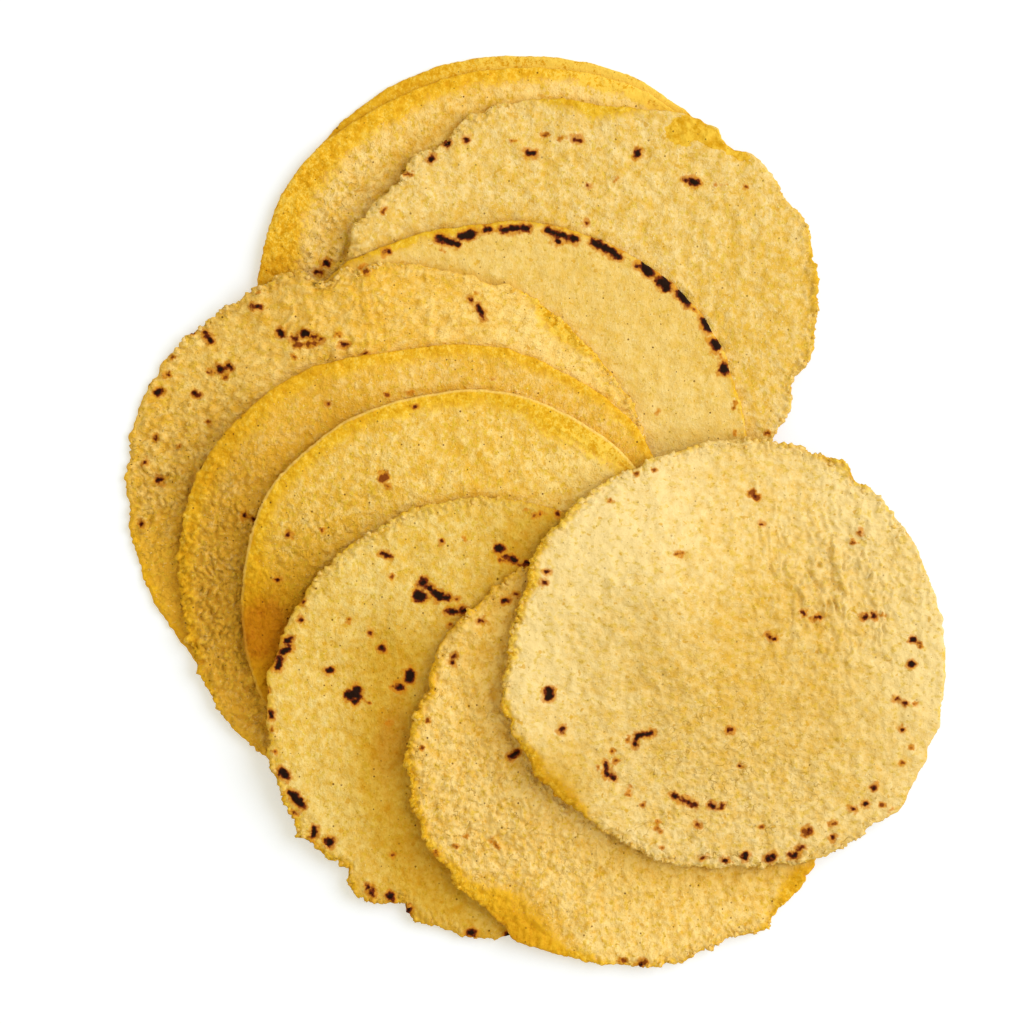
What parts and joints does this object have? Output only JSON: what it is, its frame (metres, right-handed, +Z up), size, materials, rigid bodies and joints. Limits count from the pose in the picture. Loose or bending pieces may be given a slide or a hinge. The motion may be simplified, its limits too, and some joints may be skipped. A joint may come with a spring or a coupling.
{
  "type": "corn tortilla stack",
  "caption": "Fanned stack of thin griddled corn tortillas, each draped over the ones below, with uneven toasted rims.",
  "frame": {"origin": "middle of the stack's box, on the surface that it lies on", "axes": "+Z up through the stack, +Y along its longer side, towards the lowest tortillas, +X towards the side where the top tortilla lies"},
  "size_m": [0.27, 0.3014, 0.0246],
  "materials": {
    "pale_dough": "matte grainy corn dough with char spots",
    "golden_dough": "matte golden corn dough, smooth at the rim"
  },
  "bodies": {
    "root": {"tortilla_01": "golden_dough", "tortilla_02": "golden_dough", "tortilla_03": "pale_dough", "tortilla_04": "pale_dough", "tortilla_05": "pale_dough", "tortilla_06": "golden_dough", "tortilla_07": "golden_dough", "tortilla_08": "pale_dough", "tortilla_09": "pale_dough", "tortilla_10": "pale_dough"}
  },
  "joints": []
}
